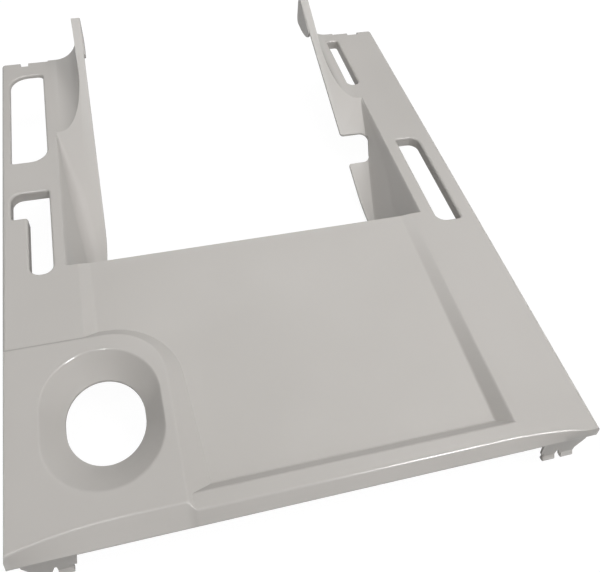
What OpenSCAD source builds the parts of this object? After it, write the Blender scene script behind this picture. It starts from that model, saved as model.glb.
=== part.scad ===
// Rear cover of a riding mower: one moulded sheet of even thickness.
// X runs across the mower, Y runs back along the two arms, Z is up.
// The form is worked out with the arm tops at Z = 0 and the rear edge of
// the panel at Y = 0. At the end it is set down with its origin in the
// middle of its footprint.

/* [Overall] */
// Width over the two arms
cover_w = 620; // [580:5:700]
// Length of the arms behind the panel
arm_l = 449; // [430:1:480]
// Length of the panel from its rear edge to the front lip
panel_l = 355; // [350:1:400]
// Thickness of the moulded wall
wall = 3; // [2:0.5:3.5]
// Depth of the rim round the outside
rim_h = 14; // [12:1:20]
// Radius along the outer top edges
edge_r = 4; // [3.6:0.2:6]
// Radius of the outer corners seen from above
corner_r = 7; // [5:1:12]

/* [Front face] */
// Height of the slanted front face
face_h = 12; // [9:1:14]
// How far the front face leans back
face_lean = 11; // [7:1:14]
// How far the front face of the raised corner leans back
plateau_face_lean = 20; // [16:1:24]
// Length at each end over which the crease bends to the corner
crease_bend_l = 110; // [80:5:140]
// Radius of that bend
crease_r = 440; // [420:20:900]

/* [Recessed panel] */
// Width left at each side between the outer edge and the recess
recess_border = 89.5; // [84:0.5:100]
// Plan width of the recess wall at the panel's rear edge
recess_rear_wall_w = 14.5; // [12:0.5:24]
// Distance from the rear edge to the front border of the recess
recess_l = 326; // [310:1:330]
// Plan width of the sloping wall round the recess at its front
recess_wall_w = 13; // [8:1:16]
// Depth of the floor at the panel's rear edge
floor_rear_z = 2; // [1:0.5:4]
// Depth of the floor at its front end
floor_front_z = 16; // [10:1:18]

/* [Raised corner] */
// Height of the raised corner above the arms
plateau_h = 3.5; // [2:0.5:5]
// Distance from the cover's left edge to its inner edge
plateau_w = 174; // [168:1:180]
// Distance from the panel's rear edge to its rear edge
plateau_y = 118; // [112:1:124]
// Radius of its rounded corner
plateau_r = 62; // [50:1:66]
// Run of its flank for each millimetre of drop
plateau_slope = 1.3; // [0.9:0.1:1.4]

/* [Filler funnel] */
// Distance from the cover's left edge to the funnel's middle
funnel_inset = 100.5; // [96:0.5:105]
// Distance from the panel's rear edge to the funnel's middle
funnel_y = 221; // [216:1:226]
// Width of the funnel at its rim
funnel_w = 127; // [118:1:130]
// Length of the funnel at its rim
funnel_l = 170; // [160:1:176]
// Width of the opening at the bottom
mouth_w = 85; // [70:1:95]
// Length of the opening at the bottom
mouth_l = 105; // [98:1:115]
// Sideways step of the opening from the middle of the rim
mouth_dx = 3; // [0:0.5:6]
// Rearward step of the opening from the middle of the rim
mouth_dy = 8; // [0:1:12]
// Depth of the opening below the raised corner
funnel_h = 28; // [20:1:34]

/* [Arms and inner strips] */
// Width of the flat top of each arm
arm_w = 76; // [74:1:80]
// Inward run of the arm's inner wall for each millimetre of drop
inner_slope = 0.3; // [0.2:0.05:0.4]
// Radius of the sweep from the arm top up to its inner edge
sweep_r = 37; // [30:1:42]
// How far the sweep starts inside the inner crease
sweep_inset = 6; // [2:1:8]
// Depth of the inner strip's plane at the panel's rear edge
strip_z = 98; // [92:1:104]
// Climb of the inner strip in degrees
strip_climb = 20.4; // [19:0.1:21]
// Reach of the strip inside the crease at the panel
strip_w_front = 44.7; // [40:0.1:50]
// Reach of the strip inside the crease at the arm's end
strip_w_rear = 56.5; // [52:0.5:60]
// Length in front over which the strip's edge turns outward
strip_turn_l = 45; // [30:1:55]
// Radius of that turn
strip_turn_r = 130; // [110:5:200]
// Depth of the level landing at the foot of each strip
landing_z = 76; // [72:1:82]
// Width of the cut-out in the right strip
cutout_w = 38; // [30:1:40]
// Length of the cut-out in the right strip
cutout_l = 47.5; // [40:0.5:54]
// Distance from the panel's rear edge to the cut-out
cutout_y = 157; // [150:1:164]
// Radius of the cut-out's corners
cutout_r = 12; // [6:1:14]

/* [Slots] */
// Left rear slot: distances of its sides from the outer edge, front, rear
slot_a = [61, 12, 205, 413];
// Left rear slot: radius of its large rear corner
slot_a_r = 28; // [20:1:30]
// Left front slot: distances of its sides from the outer edge, front of the head, rear
slot_b = [60, 11, 94, 142];
// Width of the left front slot's long leg
slot_b_leg_w = 28; // [22:1:32]
// Reach of that leg in front of the panel's rear edge
slot_b_leg_y = 7; // [4:1:12]
// Right rear slot: distances of its sides from the outer edge, front, rear
slot_c = [80.5, 61.8, 288, 428];
// Right front slot: distances of its sides from the outer edge, front, rear
slot_d = [56.6, 23, -20, 154];
// Radius of the right front slot's large corners
slot_d_r = 14; // [8:1:15]
// Small radius in the other corners of the slots
slot_r = 4; // [3:0.5:6]
// Depth of the collar round the slots
collar_h = 15; // [8:1:20]
// Depth of the low collar round the left rear slot
low_collar_h = 6; // [5:1:10]

/* [Ears and end notches] */
// Thickness of the ear at each arm's end
ear_t = 3; // [2:0.5:4]
// How far the ear stands out behind the arm
ear_out = 10; // [6:1:14]
// Length of the ear along the strip
ear_l = 88; // [70:1:96]
// Height of the ear's rear edge below the strip
ear_h = 38; // [30:1:42]
// Width of the notch in the left arm's end
notch_l_w = 12; // [8:1:16]
// Depth of the notch in the left arm's end
notch_l_d = 11; // [6:1:14]
// Distance from the outer edge to the left notch
notch_l_inset = 28; // [20:1:36]
// Width of the notch in the right arm's end
notch_r_w = 19; // [12:1:24]
// Depth of the notch in the right arm's end
notch_r_d = 8; // [4:1:12]
// Distance from the outer edge to the right notch
notch_r_inset = 25; // [18:1:30]

/* [Hook tabs] */
// Distance from the cover's outer edge to each hook tab
tab_inset = 4; // [3.5:0.5:10]
// Width of each hook tab
tab_w = 52; // [48:1:53]
// Distance of the tab behind the front lip
tab_back = 5; // [4:0.5:8]
// Depth of the plate's lower edge
tab_z = 46; // [38:1:50]
// Depth of the feet
foot_z = 62; // [58:1:70]
// Width of each foot
foot_w = 15; // [12:1:16]
// Gap between the two feet of a tab at their ends
foot_gap = 8; // [6:1:10]
// Gap between the two feet at the plate
foot_gap_top = 2; // [1:0.5:4]
// How far a foot's barb stands forward
barb_out = 3; // [2:0.5:4]
// Height of a foot's barb
barb_h = 7; // [5:1:10]
// Thickness of the ribs behind the tabs
rib_t = 2.5; // [2:0.5:3]
// Reach of the ribs behind the tabs
rib_l = 24; // [18:1:30]

/* [Hidden] */
$fn = 96;
// Small overrun for cuts
over = 1;
// Depth by which the sweep's circle crosses the faces that it blends into
cross = 0.15;
// Level that the blank form reaches down to
deep = -130;
// Headroom above every surface
high = 110;
half_w = cover_w / 2;
crease_x = half_w - arm_w;
recess_w = half_w - recess_border;
floor_w = recess_w - recess_rear_wall_w;
plateau_x = half_w - plateau_w;
funnel_x = half_w - funnel_inset;
strip_x_front = crease_x - strip_w_front;
strip_x_rear = crease_x - strip_w_rear;
strip_taper = (strip_x_front - strip_x_rear) / arm_l;
sweep_x = crease_x - sweep_inset;
tab_x = half_w - tab_inset - tab_w;
strip_rise = tan(strip_climb);
strip_end_z = -strip_z + arm_l * strip_rise;
landing_y = (strip_z - landing_z) / strip_rise;
ear_rear = arm_l + ear_out;
ear_front = ear_rear - ear_l;
// Stations along the recess, each bend of the front crease and the strips' turn
recess_steps = 6;
crease_steps = 10;
turn_steps = 6;
// Room that the cut in front of the front face takes
front_room = 40;
// Share of the front face's height to which that cut runs on above the crease
face_run_on = 1.5;
// Reach across the cover over which the front face passes from the raised corner down
flank_top_x = -plateau_x - wall;
flank_foot_x = -plateau_x + plateau_slope * plateau_h + wall;
bottom_z = -landing_z - wall;
middle_y = (ear_rear - panel_l) / 2;

// Extra sideways step that keeps a sloping wall at its full thickness
function side_step(slope, t) = t * (sqrt(1 + slope * slope) - slope);

// Depth of the recess floor at a distance behind the rear edge
function floor_z(y) = -floor_rear_z + (floor_front_z - floor_rear_z) * y / (recess_l - recess_wall_w);

// How far the crease has moved forward at a distance into its bend
function bend(d) = d <= 0 ? 0 : crease_r - sqrt(crease_r * crease_r - d * d);

// How far a place across the cover lies on the raised corner, from 1 to 0
function raised(x) =
    max(0, min(1, (flank_foot_x - x) / (flank_foot_x - flank_top_x)));

// Crease of the front face at a place across the cover, as [y, z]
function crease(x) =
    [-panel_l + max(face_lean + (plateau_face_lean - face_lean) * raised(x)
        - bend(abs(x) - half_w + crease_bend_l), 1), plateau_h * raised(x)];

// Closed solid through rings that all have the same number of points
module loft(rings) {
    n = len(rings[0]);
    last = len(rings) - 1;
    sides = [for (k = [0 : last - 1]) for (i = [0 : n - 1])
        let (a = k * n + i, b = k * n + (i + 1) % n)
        each [[a, b, b + n], [a, b + n, a + n]]];
    first_cap = [[for (i = [n - 1 : -1 : 0]) i]];
    last_cap = [[for (i = [0 : n - 1]) last * n + i]];
    polyhedron([for (ring = rings) each ring], concat(first_cap, sides, last_cap));
}

// Rectangle with its own radius in each corner: front left, front right,
// rear right, rear left
module slot_outline(x0, x1, y0, y1, r) {
    corners = [[x0 + r[0], y0 + r[0], 180], [x1 - r[1], y0 + r[1], 270],
        [x1 - r[2], y1 - r[2], 0], [x0 + r[3], y1 - r[3], 90]];
    polygon([[x0 + r[0], y0], [x1 - r[1], y0], [x1, y0 + r[1]], [x1, y1 - r[2]],
        [x1 - r[2], y1], [x0 + r[3], y1], [x0, y1 - r[3]], [x0, y0 + r[0]]]);
    for (k = [0 : 3])
        translate([corners[k][0], corners[k][1]])
            rotate(corners[k][2])
                intersection() {
                    circle(r[k]);
                    square(r[k]);
                }
}

// Oval with straight flanks and round ends, along Y
module oval(w, l) {
    straight = (l - w) / 2;
    square([w, 2 * straight], center = true);
    for (side = [-1, 1])
        translate([0, side * straight]) circle(w / 2);
}

// Bar across the whole width with rounded top edges, from y0 to y1
module bar(top, y0, y1, t) {
    w = cover_w - 2 * t;
    r = edge_r - t;
    translate([0, y1, 0])
        rotate([90, 0, 0])
            linear_extrude(y1 - y0) {
                translate([-w / 2, deep]) square([w, top - r - deep]);
                translate([-w / 2 + r, top - r - over]) square([w - 2 * r, r + over]);
                for (side = [-1, 1])
                    translate([side * (w / 2 - r), top - r]) circle(r);
            }
}

// Everything in front of the slanted front face
module front_cut(t) {
    bend_xs = [for (k = [0 : crease_steps]) crease_bend_l * k / crease_steps];
    xs = concat([-half_w - over], [for (d = bend_xs) -half_w + d], [flank_top_x],
        [flank_foot_x], [for (d = bend_xs) half_w - crease_bend_l + d], [half_w + over]);
    front = -panel_l - front_room;
    translate([0, t * norm([face_h, face_lean]) / face_h, 0])
        loft([for (x = xs)
            let (c = crease(x), top_y = -panel_l + face_run_on * (c[0] + panel_l),
                top_z = -face_h + face_run_on * (c[1] + face_h))
            [[x, front, top_z], [x, top_y, top_z], [x, -panel_l, -face_h],
                [x, -panel_l, deep - over], [x, front, deep - over]]]);
}

// The recessed panel, open at the rear edge
module recess_cut(t) {
    run = recess_l - recess_wall_w;
    floor_grow = recess_w - recess_wall_w - floor_w;
    stations = concat([for (k = [0 : recess_steps]) run * (k / recess_steps - 1)], [over]);
    loft([for (y = stations)
        let (fz = floor_z(y),
            fw = floor_w - floor_grow * y / run,
            slope = (recess_w - fw) / -fz,
            step = side_step(slope, t),
            front_slope = recess_wall_w / floor_front_z,
            share = max(-y, 0) / run,
            fy = y - share * side_step(front_slope, t),
            by = fy - share * (recess_wall_w + front_slope * over))
        [[-fw - step, fy, fz - t], [fw + step, fy, fz - t],
            [recess_w + step + slope * over, by, over - t],
            [-recess_w - step - slope * over, by, over - t]]]);
}

// The raised corner with its sloping flanks
module plateau(t) {
    low = plateau_h + floor_front_z + 2 * wall;
    run = plateau_slope * low;
    step = side_step(plateau_slope, t);
    x = -plateau_x - step;
    y = -plateau_y - step;
    r = plateau_r - step;
    translate([0, 0, plateau_h - t])
        intersection() {
            bar(0, -panel_l, y + run, t);
            union() {
                translate([x - r, y - r, -low]) cylinder(h = low, r1 = r + run, r2 = r);
                translate([0, y - r, 0])
                    rotate([90, 0, 0])
                        linear_extrude(panel_l + y - r)
                            polygon([[x - r, -low], [x + run, -low], [x, 0], [x - r, 0]]);
                translate([-half_w, 0, 0])
                    rotate([90, 0, 90])
                        linear_extrude(half_w + x - r)
                            polygon([[y - r, -low], [y + run, -low], [y, 0], [y - r, 0]]);
                translate([-half_w, -panel_l, -low])
                    cube([half_w + x - r, panel_l + y - r, low]);
            }
        }
}

// Hollow of the filler funnel, or its outside when t is the wall
module funnel_cut(t) {
    slope = (funnel_w - mouth_w) / 2 / funnel_h;
    step = side_step(slope, t);
    translate([-funnel_x, -funnel_y, plateau_h - t]) {
        linear_extrude(t + over) oval(funnel_w + 2 * step, funnel_l + 2 * step);
        hull() {
            translate([0, 0, -over])
                linear_extrude(over) oval(funnel_w + 2 * step, funnel_l + 2 * step, $fn = 48);
            translate([mouth_dx, mouth_dy, -funnel_h])
                linear_extrude(over) oval(mouth_w + 2 * t, mouth_l + 2 * t, $fn = 48);
        }
    }
}

// Straight opening at the bottom of the funnel
module mouth_cut() {
    translate([mouth_dx - funnel_x, mouth_dy - funnel_y, plateau_h - funnel_h - 3 * wall])
        linear_extrude(3 * wall + over) oval(mouth_w, mouth_l);
}

// Space between the two arms, with the arms' leaning inner sides
module notch_cut(t) {
    step = t * norm([1, inner_slope]);
    foot = crease_x + step + inner_slope * deep;
    head = crease_x + step + inner_slope * high;
    translate([0, arm_l + over, 0])
        rotate([90, 0, 0])
            linear_extrude(arm_l + over + t)
                polygon([[-foot, deep], [foot, deep], [head, high], [-head, high]]);
}

// Distance from the middle to the strip's inner edge at a place along the arm
function strip_x(y) = strip_x_front - strip_taper * y
    + pow(max(strip_turn_l - y, 0), 2) / (2 * strip_turn_r);

// The right arm's inner strip, its landing and the sweep up to it
module arm_strip(t) {
    // The hollow runs out past the strip's inner edge and into the arm's hollow
    reach = t == 0 ? 0 : wall + sweep_inset;
    front = t == 0 ? -wall : 0;
    rear = arm_l + (t == 0 ? 0 : over);
    beyond = arm_l + 2 * wall;
    turn_ys = [for (k = [0 : turn_steps]) front + (strip_turn_l - front) * k / turn_steps];
    sweep_z = sweep_r - cross;
    // The hollow's flat lies a hair lower, so it doesn't share a plane with the arm's hollow
    flat_z = t == 0 ? 0 : -t - cross / 2;
    sweep_foot = sweep_x - sqrt(pow(sweep_r + t, 2) - pow(sweep_z - flat_z, 2));
    difference() {
        translate([0, 0, deep])
            linear_extrude(high - deep)
                polygon(concat([for (y = turn_ys) [strip_x(y) - reach, y]],
                    [[strip_x(rear) - reach, rear], [crease_x + 2 * wall, rear],
                        [crease_x + 2 * wall, front]]));
        // Space over the climbing strip and over the level landing
        rotate([90, 0, 90])
            linear_extrude(cover_w)
                polygon([[-2 * wall, -landing_z - t], [landing_y - t * tan(strip_climb / 2), -landing_z - t],
                    [beyond, strip_end_z + 2 * wall * strip_rise - t / cos(strip_climb)],
                    [beyond, 2 * high], [-2 * wall, 2 * high]]);
        // Space over the sweep and over the flat beside it
        translate([0, -2 * wall, 0]) {
            intersection() {
                translate([sweep_x, 0, sweep_z])
                    rotate([-90, 0, 0]) cylinder(h = arm_l + 4 * wall, r = sweep_r + t);
                translate([0, -over, flat_z]) cube([cover_w, arm_l + 5 * wall, high]);
            }
            translate([sweep_foot, 0, flat_z]) cube([cover_w, arm_l + 4 * wall, high]);
            translate([sweep_x - sweep_r - t + cross, 0, sweep_z])
                cube([sweep_r + t + over, arm_l + 4 * wall, high]);
        }
    }
}

// The whole outer form, or the hollow under it when t is the wall
module form(t) {
    difference() {
        union() {
            difference() {
                intersection() {
                    bar(-t, -panel_l, arm_l - t, t);
                    translate([0, 0, deep])
                        linear_extrude(high - deep)
                            slot_outline(-half_w + t, half_w - t, -panel_l, arm_l - t,
                                [for (k = [0 : 3]) corner_r - t]);
                }
                notch_cut(t);
                recess_cut(t);
            }
            plateau(t);
        }
        front_cut(t);
        funnel_cut(t);
    }
    for (side = [0, 1])
        mirror([side, 0, 0]) arm_strip(t);
}

// What hangs below the rim, the lip and the landings, clear of the funnel
module below_rim() {
    difference() {
        for (side = [0, 1])
            mirror([side, 0, 0])
                translate([crease_x, -panel_l - over, deep - over])
                    cube([arm_w + over, panel_l + arm_l + 2 * over, -deep - rim_h + over]);
        translate([-funnel_x, -funnel_y, deep - 2 * over])
            linear_extrude(-deep) oval(funnel_w + 4 * wall, funnel_l + 4 * wall);
    }
    translate([-strip_x_front, -2 * wall, deep - over])
        cube([2 * strip_x_front, 2 * wall + over, -deep - rim_h + over]);
    translate([-half_w - over, -panel_l - over, deep - over])
        cube([cover_w + 2 * over, 2 * plateau_face_lean, -deep - face_h + over]);
    translate([-half_w, -2 * wall, deep - over])
        cube([cover_w, arm_l, -deep + bottom_z + over]);
}

module slot_a_outline(grow) {
    slot_outline(-half_w + slot_a[1] - grow, -half_w + slot_a[0] + grow, slot_a[2] - grow, slot_a[3] + grow,
        [slot_r + grow, slot_a_r - slot_r + grow, 2 * slot_r + grow, slot_a_r + grow]);
}

module slot_b_outline(grow) {
    near = -half_w + slot_b[0] + grow;
    slot_outline(-half_w + slot_b[1] - grow, near, slot_b[2] - grow, slot_b[3] + grow,
        [slot_r + grow, slot_r, slot_r + grow, slot_b_leg_w / 2 + grow]);
    slot_outline(near - slot_b_leg_w - 2 * grow, near, -slot_b_leg_y - grow, slot_b[3] + grow,
        [slot_b_leg_w / 2 - over + grow, slot_b_leg_w / 2 - over + grow, slot_r + grow, slot_r]);
}

module slot_c_outline(grow) {
    round_end = (slot_c[0] - slot_c[1] - over) / 2;
    slot_outline(half_w - slot_c[0] - grow, half_w - slot_c[1] + grow, slot_c[2] - grow, slot_c[3] + grow,
        [round_end + grow, round_end + grow, slot_r + grow, slot_r + grow]);
}

module slot_d_outline(grow) {
    slot_outline(half_w - slot_d[0] - grow, half_w - slot_d[1] + grow, slot_d[2] - grow, slot_d[3] + grow,
        [slot_d_r + grow, slot_r + grow, slot_d_r + grow, slot_r + grow]);
}

// Collars that hang below the slots
module collars() {
    translate([0, 0, -low_collar_h]) linear_extrude(low_collar_h - wall / 2) slot_a_outline(wall);
    translate([0, 0, -collar_h]) linear_extrude(collar_h - wall / 2) {
        slot_b_outline(wall);
        slot_c_outline(wall);
        slot_d_outline(wall);
    }
}

module slot_cuts() {
    translate([0, 0, -2 * collar_h])
        linear_extrude(2 * collar_h + over) {
            slot_a_outline(0);
            slot_b_outline(0);
            slot_c_outline(0);
            slot_d_outline(0);
        }
}

// Plate with two barbed feet under the right front corner, and its ribs
module hook_tab() {
    first_foot = tab_x + (tab_w - 2 * foot_w - foot_gap) / 2;
    feet = [first_foot, first_foot + foot_w + foot_gap];
    gap_x = first_foot + foot_w;
    front = -panel_l + tab_back;
    top = -face_h + wall;
    low = -tab_z - wall;
    translate([0, front + wall, 0])
        rotate([90, 0, 0])
            linear_extrude(wall)
                polygon([[tab_x, top], [tab_x + tab_w, top], [tab_x + tab_w, -tab_z + foot_w],
                    [tab_x + tab_w - foot_w / 2, low], [feet[1] + foot_w, low], [feet[1] + foot_w, -foot_z],
                    [feet[1], -foot_z], [gap_x + foot_gap_top, -tab_z], [gap_x, -tab_z], [gap_x, -foot_z],
                    [feet[0], -foot_z], [feet[0], low], [tab_x + wall, low], [tab_x, -tab_z + foot_w]]);
    for (x = feet) {
        translate([x, 0, 0])
            rotate([90, 0, 90])
                linear_extrude(foot_w)
                    polygon([[front + over, -foot_z], [front, -foot_z],
                        [front - barb_out, -foot_z + wall / 2], [front - barb_out, -foot_z + wall],
                        [front, -foot_z + barb_h], [front + over, -foot_z + barb_h]]);
        translate([x + (foot_w - rib_t) / 2, 0, 0])
            rotate([90, 0, 90])
                linear_extrude(rib_t)
                    polygon([[front + over, -tab_z], [front + wall + rib_l, -wall / 2],
                        [front + wall + over, -wall / 2], [front + over, top]]);
    }
}

// Ear that hangs from the right strip at the arm's end
module ear() {
    front_z = -strip_z + ear_front * strip_rise - wall / 2;
    top_rear = strip_end_z - wall / 2;
    low = strip_end_z - wall - ear_h;
    translate([strip_x_rear, 0, 0])
        rotate([90, 0, 90])
            linear_extrude(ear_t)
                polygon([[ear_front, front_z], [arm_l, top_rear], [ear_rear, top_rear - ear_out / 2],
                    [ear_rear, low + ear_out], [ear_rear - ear_out, low], [ear_front + ear_h, low],
                    [ear_front + ear_h / 2, low + 2 * wall], [ear_front, front_z - wall]]);
}

module end_notches() {
    translate([-half_w + notch_l_inset, arm_l - notch_l_d, -2 * rim_h])
        cube([notch_l_w, notch_l_d + over, 3 * rim_h]);
    translate([half_w - notch_r_inset - notch_r_w, arm_l - notch_r_d, -2 * rim_h])
        cube([notch_r_w, notch_r_d + over, 3 * rim_h]);
}

// Cut-out through the right strip, open towards the middle
module strip_cutout() {
    edge = strip_x(cutout_y);
    translate([0, 0, deep])
        linear_extrude(-deep - 2 * rim_h + cutout_r)
            slot_outline(edge - 2 * cutout_r, edge + cutout_w, cutout_y, cutout_y + cutout_l,
                [over, cutout_r, cutout_r, over]);
}

module rear_cover() {
    color([0.76, 0.745, 0.72])
        translate([0, -middle_y, -bottom_z])
            difference() {
                union() {
                    difference() {
                        form(0);
                        form(wall);
                        below_rim();
                    }
                    collars();
                    for (side = [0, 1])
                        mirror([side, 0, 0]) {
                            hook_tab();
                            ear();
                        }
                }
                slot_cuts();
                mouth_cut();
                end_notches();
                strip_cutout();
            }
}

rear_cover();
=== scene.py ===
import math

import bmesh
import bpy
from mathutils import Euler, Matrix, Vector


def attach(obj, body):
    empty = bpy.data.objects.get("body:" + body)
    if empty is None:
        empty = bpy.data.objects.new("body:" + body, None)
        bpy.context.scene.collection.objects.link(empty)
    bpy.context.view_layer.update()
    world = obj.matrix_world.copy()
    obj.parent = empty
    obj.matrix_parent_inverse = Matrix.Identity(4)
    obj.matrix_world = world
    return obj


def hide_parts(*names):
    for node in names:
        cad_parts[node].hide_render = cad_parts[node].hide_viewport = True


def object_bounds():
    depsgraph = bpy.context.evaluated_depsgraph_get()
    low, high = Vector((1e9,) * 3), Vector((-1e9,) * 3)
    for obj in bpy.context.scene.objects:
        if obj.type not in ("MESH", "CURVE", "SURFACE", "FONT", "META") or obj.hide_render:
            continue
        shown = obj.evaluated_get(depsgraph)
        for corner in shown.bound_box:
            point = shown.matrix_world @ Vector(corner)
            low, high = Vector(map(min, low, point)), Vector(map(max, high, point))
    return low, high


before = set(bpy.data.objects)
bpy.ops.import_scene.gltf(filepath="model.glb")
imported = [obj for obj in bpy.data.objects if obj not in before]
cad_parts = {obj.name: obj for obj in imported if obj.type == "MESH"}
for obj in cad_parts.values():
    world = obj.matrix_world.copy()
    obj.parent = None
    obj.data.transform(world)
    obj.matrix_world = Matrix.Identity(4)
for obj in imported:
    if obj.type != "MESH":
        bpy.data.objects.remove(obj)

# The box round the solids, taken straight after they are loaded
CAD_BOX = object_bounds()

# Sizes are in millimetres, in the plan frame: X across, Y back along the arms
# from the panel's rear edge, Z up from the tops of the arms
MM = 0.001
COVER_W = 620.0
HALF_W = COVER_W / 2
ARM_L = 449.0
PANEL_L = 355.0
WALL = 3.0
RIM_H = 14.0
EDGE_R = 4.0
FRONT_CORNER_R = 7.0
REAR_CORNER_R = 4.5

# Cutters and blocks run on past the form by these
OVER = 1.0
FRONT_SPARE = 20.0
DEEP = -130.0
HIGH = 110.0

# The slanted front face, whose crease bends forward near both ends. Its cutter
# rises off the crease along a ramp, and the hollow's own runs on by a factor
FACE_H = 12.0
FACE_LEAN = 11.0
MIN_LEAN = 1.0
PLATEAU_LEAN = 20.0
CREASE_BEND_L = 110.0
CREASE_R = 440.0
RAMP_L = 10.0
RAMP_H = 1.2
HOLLOW_FACE_RUN = 1.5

# The recessed panel
RECESS_W = 220.5
FLOOR_W = 206.0
RECESS_L = 326.0
RECESS_WALL_W = 13.0
FLOOR_REAR_Z = 2.0
FLOOR_FRONT_Z = 16.0

# The raised corner on the left front
PLATEAU_H = 3.5
PLATEAU_X = 136.0
PLATEAU_Y = 118.0
PLATEAU_R = 62.0
PLATEAU_SLOPE = 1.3
FLANK_TOP_X = -PLATEAU_X - WALL
FLANK_FOOT_X = -PLATEAU_X + PLATEAU_SLOPE * PLATEAU_H + WALL

# The filler funnel. An ease of 0 keeps an oval's flanks straight, 1 is an ellipse
FUNNEL_X = 209.5
FUNNEL_Y = 221.0
FUNNEL_W = 127.0
FUNNEL_L = 170.0
FUNNEL_H = 28.0
MOUTH_W = 85.0
MOUTH_L = 105.0
MOUTH_DX = 1.0
MOUTH_DY = 8.0
RIM_EASE = 0.1
MOUTH_EASE = 0.6

# The arms' inner walls and the strips beside them
ARM_W = 76.0
CREASE_X = HALF_W - ARM_W
INNER_SLOPE = 0.3
SWEEP_R = 37.0
SWEEP_X = CREASE_X - 6.0
STRIP_Z = 98.0
STRIP_CLIMB = math.radians(20.4)
STRIP_RISE = math.tan(STRIP_CLIMB)
STRIP_X_FRONT = 189.3
STRIP_X_REAR = 177.5
STRIP_TAPER = (STRIP_X_FRONT - STRIP_X_REAR) / ARM_L
STRIP_TURN_L = 110.0
STRIP_TURN_R = 340.0
STRIP_END_Z = -STRIP_Z + ARM_L * STRIP_RISE
LANDING_Z = 76.0
LANDING_Y = (STRIP_Z - LANDING_Z) / STRIP_RISE
CUTOUT_W = 38.0
CUTOUT_L = 47.5
CUTOUT_Y = 157.0
CUTOUT_R = 12.0
CUTOUT_IN_FRONT = 3.0
CUTOUT_OUT_REAR = 2.5

# Slots: nearest and farthest from the middle, front and rear
SLOT_A = (249.0, 298.0, 205.0, 413.0)
SLOT_A_R = 28.0
SLOT_B = (250.0, 299.0, 94.0, 142.0)
SLOT_B_LEG_W = 28.0
SLOT_B_LEG_Y = 7.0
SLOT_C = (224.0, 242.7, 300.0, 427.0)
SLOT_D = (253.4, 287.0, -20.0, 154.0)
SLOT_D_R = 14.0
SLOT_R = 4.0
COLLAR_H = 15.0
LOW_COLLAR_H = 6.0

EAR_T = 3.0
EAR_OUT = 10.0
EAR_L = 72.0
EAR_H = 42.0
EAR_BELLY = 1.15
EAR_REAR = ARM_L + EAR_OUT
EAR_FRONT = EAR_REAR - EAR_L

# Notches in the arms' ends: from, to, how deep
END_NOTCHES = ((-282.0, -270.0, 11.0), (266.0, 285.0, 8.0))

# The hook tabs under the front corners
TAB_X = 254.0
TAB_W = 52.0
TAB_BACK = 5.0
TAB_Z = 46.0
LEFT_TAB_IN = 5.0
FOOT_Z = 62.0
FOOT_W = 15.0
FOOT_GAP = 8.0
FOOT_GAP_TOP = 2.0
BARB_OUT = 3.0
BARB_H = 7.0
RIB_T = 2.5
RIB_L = 24.0

# How far the moulded edges are rounded back from where the faces would meet
RECESS_SOFT = 1.6
CREASE_SOFT = 1.8
CREASE_LEAN_SHARE = 0.45
WALL_TOP_SOFT = 2.0
PLATEAU_TOP_SOFT = 3.5
PLATEAU_FOOT_SOFT = 3.0
CREST_SOFT = 1.2
STRIP_EDGE_SOFT = 1.3
PANEL_EDGE_SOFT = 1.3
EAR_SOFT = 0.5
SLOT_EDGE_R = 3.2
MOUTH_R_FRONT = 3.0
MOUTH_R_REAR = 5.0
FUNNEL_SOFT_SHARE = 0.06
FUNNEL_WALL_SHARES = (0.4, 0.6, 0.8, 1.0)
SLOT_FLARE = 0.02
NO_SOFT = 0.01
HIDDEN_R = 0.5

# The fillets at the foot of the arms' inner walls. The right one gets narrower
# towards the rear, and both stop short of where the strip reaches the arm's top
FILLET_W = 13.0
FILLET_W_REAR = 3.0
FILLET_REAR = 200.0
FILLET_H = 40.0
FILLET_W_SHARE = 0.5
FILLET_H_SHARE = 0.7
FILLET_EASE = 0.4
LEFT_FILLET = 18.0
FILLET_STOP = 4.0

# Steps along the curves
ARC_STEPS = 10
OVAL_STEPS = 28
EDGE_STEPS = 6
SOFT_STEPS = 8
CREASE_STEPS = 16
FLANK_STEPS = 10
RECESS_STEPS = 12
TURN_STEPS = 10
SWEEP_STEPS = 24
FILLET_STEPS = 10
LANDING_STEPS = 4
CLIMB_STEPS = 16
BELLY_STEPS = 6

# Angles between faces, in degrees
FLAT_TURN = 0.2
SLIGHT_TURN = 4
CREST_TURN = 10
FULL_TURN = 40
SHARP_TURN = 20
NORMAL_WEIGHT = 80

# How near two points are when they become one
WELD_NEW = 1e-4
WELD_ROUNDED = 1e-3
WELD_FLAT = 0.01

# Where the edges to round are looked for
EDGE_ROOM = 0.3
STRIP_ROOM = 1.5
FLANK_ROOM = 12.0
CREST_FRONT_Y = 240.0
CREST_LOW_Z = -9.0
CREST_IN = 5.0
PANEL_EDGE_LOW_Z = -3.5

# Where the plan frame sits in the part's own frame, in metres
PLAN_Y = CAD_BOX[0][1] + PANEL_L * MM
PLAN_Z = CAD_BOX[0][2] + (LANDING_Z + WALL) * MM

# The photograph's camera: its focal length in pixels, place in metres and angles
# in degrees
IMAGE_W = 600
FOCAL_PX = 711.0
SENSOR_MM = 36.0
CLIP_START = 0.01
CAMERA_AT = (-0.1381, -0.62181 + PLAN_Y, 0.67592 + PLAN_Z)
CAMERA_ANGLES = (39.471, -3.1963, -14.6984)

# The plastic: mottled between two greys, paler on its edges, with fine bumps. A
# band is the level before and after, and where the change starts and ends
MOTTLE = ((0.3, (0.503, 0.484, 0.460, 1)), (0.7, (0.538, 0.518, 0.494, 1)))
MOTTLE_SCALE = 5.0
WORN_GREY = (0.66, 0.65, 0.63, 1)
WORN_BAND = (0.0, 0.35, 0.52, 0.6)
SPECULAR = 0.45
IOR = 1.5
GRAIN_SCALE = 90.0
ROUGHNESS = (0.14, 0.22)
BUMP_STRENGTH = 0.06
BUMP_DEPTH = 0.0004

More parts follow.
